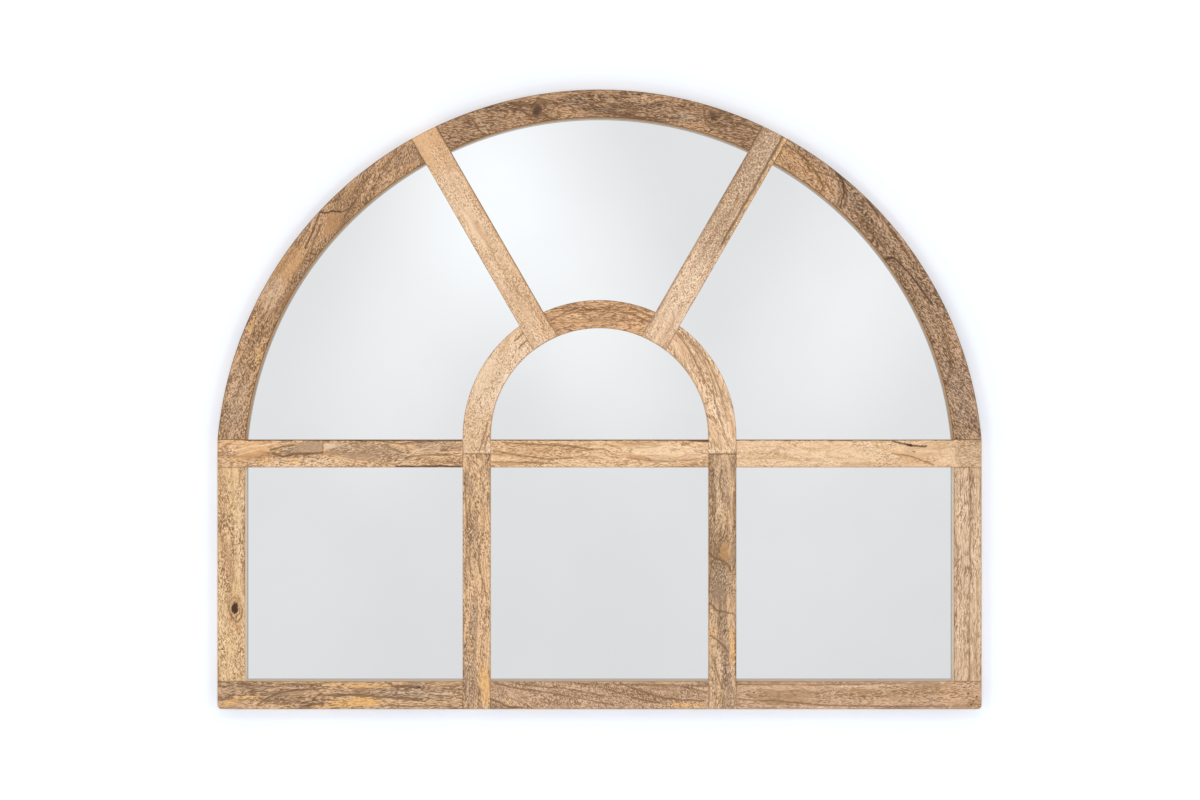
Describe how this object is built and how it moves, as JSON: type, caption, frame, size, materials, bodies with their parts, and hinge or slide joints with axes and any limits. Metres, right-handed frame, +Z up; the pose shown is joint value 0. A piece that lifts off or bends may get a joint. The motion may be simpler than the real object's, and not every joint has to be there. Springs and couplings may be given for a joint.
{
  "type": "arched window mirror",
  "caption": "Round-topped wall mirror in a natural wood frame that divides it into panes like a fanlight window, hung by rings at the back.",
  "frame": {"origin": "middle of the frame's bottom edge, half-way through the frame's thickness", "axes": "+X to the viewer's right, +Y from the viewer through the mirror to the wall, +Z up; the panes face -Y"},
  "size_m": [1.1, 0.0314, 0.892],
  "materials": {
    "mango_wood": "sanded, thin matt oil",
    "silvered_glass": "polished flat glass, silvered at the back",
    "hardboard": "smooth pressed fibre",
    "beech": "turned, glued",
    "zinc_plated_steel": "bright zinc plate",
    "pad_rubber": "matt moulded"
  },
  "bodies": {
    "frame": {"backboard_arch_window": "hardboard", "backboard_lower_centre": "hardboard", "backboard_lower_left": "hardboard", "backboard_lower_right": "hardboard", "backboard_sprigs": "zinc_plated_steel", "backboard_upper_centre": "hardboard", "backboard_upper_left": "hardboard", "backboard_upper_right": "hardboard", "bottom_rail_centre": "mango_wood", "bottom_rail_left": "mango_wood", "bottom_rail_right": "mango_wood", "hanger_screws": "zinc_plated_steel", "hanger_strap_left": "zinc_plated_steel", "hanger_strap_right": "zinc_plated_steel", "inner_arch_left": "mango_wood", "inner_arch_right": "mango_wood", "inner_arch_top": "mango_wood", "inner_stile_left": "mango_wood", "inner_stile_right": "mango_wood", "joint_dowels": "beech", "middle_rail_centre": "mango_wood", "middle_rail_left": "mango_wood", "middle_rail_right": "mango_wood", "outer_arch_left": "mango_wood", "outer_arch_right": "mango_wood", "outer_arch_top": "mango_wood", "outer_stile_left": "mango_wood", "outer_stile_right": "mango_wood", "pane_arch_window": "silvered_glass", "pane_lower_centre": "silvered_glass", "pane_lower_left": "silvered_glass", "pane_lower_right": "silvered_glass", "pane_upper_centre": "silvered_glass", "pane_upper_left": "silvered_glass", "pane_upper_right": "silvered_glass", "spoke_left": "mango_wood", "spoke_right": "mango_wood", "wall_pad_left": "pad_rubber", "wall_pad_right": "pad_rubber"},
    "left_ring": {"hanger_ring_left": "zinc_plated_steel"},
    "right_ring": {"hanger_ring_right": "zinc_plated_steel"}
  },
  "joints": [
    {"name": "left_ring_swing", "type": "hinge", "parent": "frame", "child": "left_ring", "pos_m": [-0.50377, 0.0158, 0.54426], "axis": [1, 0, 0], "range_deg": [0, 180]},
    {"name": "right_ring_swing", "type": "hinge", "parent": "frame", "child": "right_ring", "pos_m": [0.50377, 0.0158, 0.54426], "axis": [1, 0, 0], "range_deg": [0, 180]}
  ]
}
